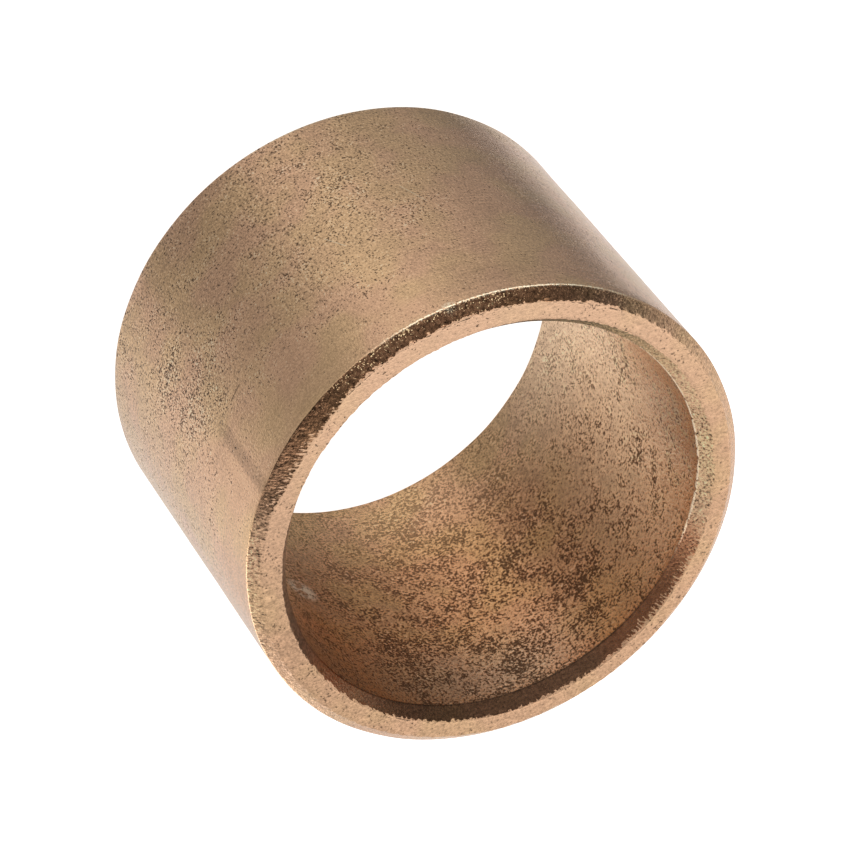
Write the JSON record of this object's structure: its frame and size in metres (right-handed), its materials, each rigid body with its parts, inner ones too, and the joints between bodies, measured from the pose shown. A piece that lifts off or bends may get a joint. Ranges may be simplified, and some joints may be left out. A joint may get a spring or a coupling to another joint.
{
  "type": "sleeve bushing",
  "caption": "Plain cylindrical sleeve bushing in sintered bronze, with a straight bore and chamfered ends, that carries a turning shaft inside a housing.",
  "frame": {"origin": "centre of the lower end face's outline, on the bore's axis", "axes": "+Z along the bore's axis, out of the end face that the picture shows; the sleeve stands on its other end"},
  "size_m": [0.0302, 0.0302, 0.0228],
  "materials": {
    "sintered_bronze": "bare sintered bronze, satin, with fine open pores"
  },
  "bodies": {
    "root": {"sleeve": "sintered_bronze"}
  },
  "joints": []
}
